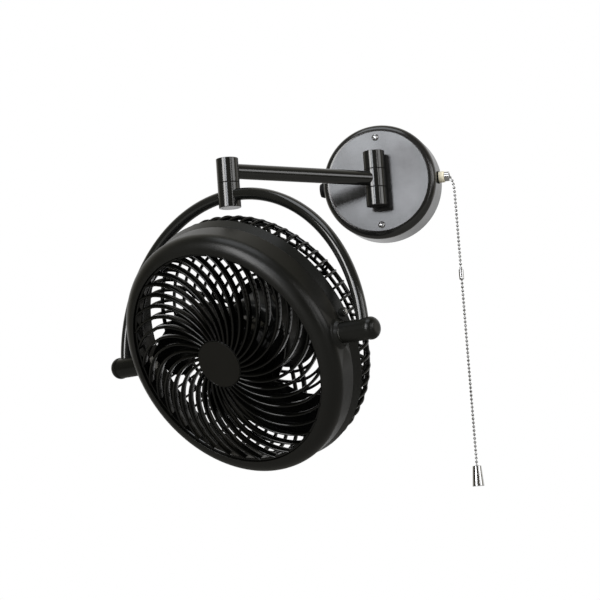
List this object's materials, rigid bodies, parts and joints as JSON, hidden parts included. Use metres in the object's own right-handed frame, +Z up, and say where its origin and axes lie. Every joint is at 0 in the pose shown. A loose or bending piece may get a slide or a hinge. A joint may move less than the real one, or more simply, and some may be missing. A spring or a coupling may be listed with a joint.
{
  "type": "wall mounted fan",
  "caption": "Wall mounted fan with a swing arm, a bent tube fork, a tilting round head with a spiral guard, turning blades and a pull chain switch.",
  "frame": {"origin": "centre of the crossbar's back face, where the fan meets the wall", "axes": "+Z up, +Y into the wall, -Y out into the room, +X to the right as seen from the room"},
  "size_m": [0.3793, 0.2863, 0.405],
  "materials": {
    "canopy_black": "semi-gloss black paint",
    "arm_black": "gloss black paint",
    "ring_black": "satin black",
    "band_black": "satin black, a shade lighter",
    "grille_black": "gloss black",
    "hub_black": "matte black",
    "cage_black": "gloss black",
    "blade_black": "gloss black",
    "bright_metal": "bright nickel plate",
    "collar_ivory": "ivory",
    "black_rubber": "matte",
    "zinc_steel": "zinc plated",
    "switch_black": "matte",
    "nylon_white": "natural nylon",
    "motor_black": "satin black",
    "core_steel": "bare laminations",
    "copper_wire": "enamelled copper"
  },
  "bodies": {
    "root": {"crossbar": "zinc_steel", "canopy": "canopy_black", "canopy_screws": "bright_metal", "cord_grommet": "black_rubber", "switch_body": "switch_black", "switch_gasket": "black_rubber", "switch_collar": "collar_ivory", "switch_bell": "bright_metal", "chain_lead": "bright_metal", "upper_ear": "arm_black", "lower_ear": "arm_black", "ear_nuts": "zinc_steel", "wall_pin": "zinc_steel", "wall_caps": "arm_black"},
    "arm": {"arm_inner_knuckle": "arm_black", "arm_tube": "arm_black", "arm_outer_knuckle": "arm_black", "arm_cap": "arm_black", "arm_pin": "zinc_steel"},
    "yoke": {"yoke_knuckle": "arm_black", "yoke_cap": "arm_black", "yoke_left_tube": "arm_black", "yoke_right_tube": "arm_black", "barrel_left": "arm_black", "barrel_right": "arm_black", "dome_left": "arm_black", "dome_right": "arm_black", "bushings": "nylon_white"},
    "head": {"front_ring": "ring_black", "rear_band": "band_black", "cage_screws": "bright_metal", "front_grille": "grille_black", "hub_disc": "hub_black", "rear_cage": "cage_black", "pivot_bolts": "zinc_steel", "pivot_nuts": "zinc_steel", "friction_washers": "nylon_white", "motor_rear_shell": "motor_black", "motor_front_shell": "motor_black", "stator": "core_steel", "windings": "copper_wire", "bearings": "zinc_steel", "motor_screws": "zinc_steel"},
    "rotor": {"motor_shaft": "zinc_steel", "rotor_core": "core_steel", "blade_rotor": "blade_black", "spinner": "blade_black"},
    "pull_chain": {"chain_upper": "bright_metal", "chain_connector": "bright_metal", "chain_lower": "bright_metal", "chain_fob": "bright_metal"}
  },
  "joints": [
    {"name": "arm_swing", "type": "hinge", "parent": "root", "child": "arm", "pos_m": [0, -0.05525, 0], "axis": [0, 0, 1], "range_deg": [-20, 90]},
    {"name": "yoke_turn", "type": "hinge", "parent": "arm", "child": "yoke", "pos_m": [-0.12822, -0.19274, 0], "axis": [0, 0, 1], "range_deg": [-160, 160]},
    {"name": "head_tilt", "type": "hinge", "parent": "yoke", "child": "head", "pos_m": [-0.12822, -0.19274, -0.1878], "axis": [0.907, -0.421, 0], "range_deg": [-116.5, 63.5]},
    {"name": "blade_spin", "type": "hinge", "parent": "head", "child": "rotor", "pos_m": [-0.12822, -0.19274, -0.1878], "axis": [-0.3768, -0.8117, -0.4462], "continuous": true},
    {"name": "chain_pull", "type": "slide", "parent": "root", "child": "pull_chain", "axis": [0, 0, -1], "range_m": [0, 0.008], "stiffness_N_per_m": 400, "springref_m": -0.002}
  ]
}
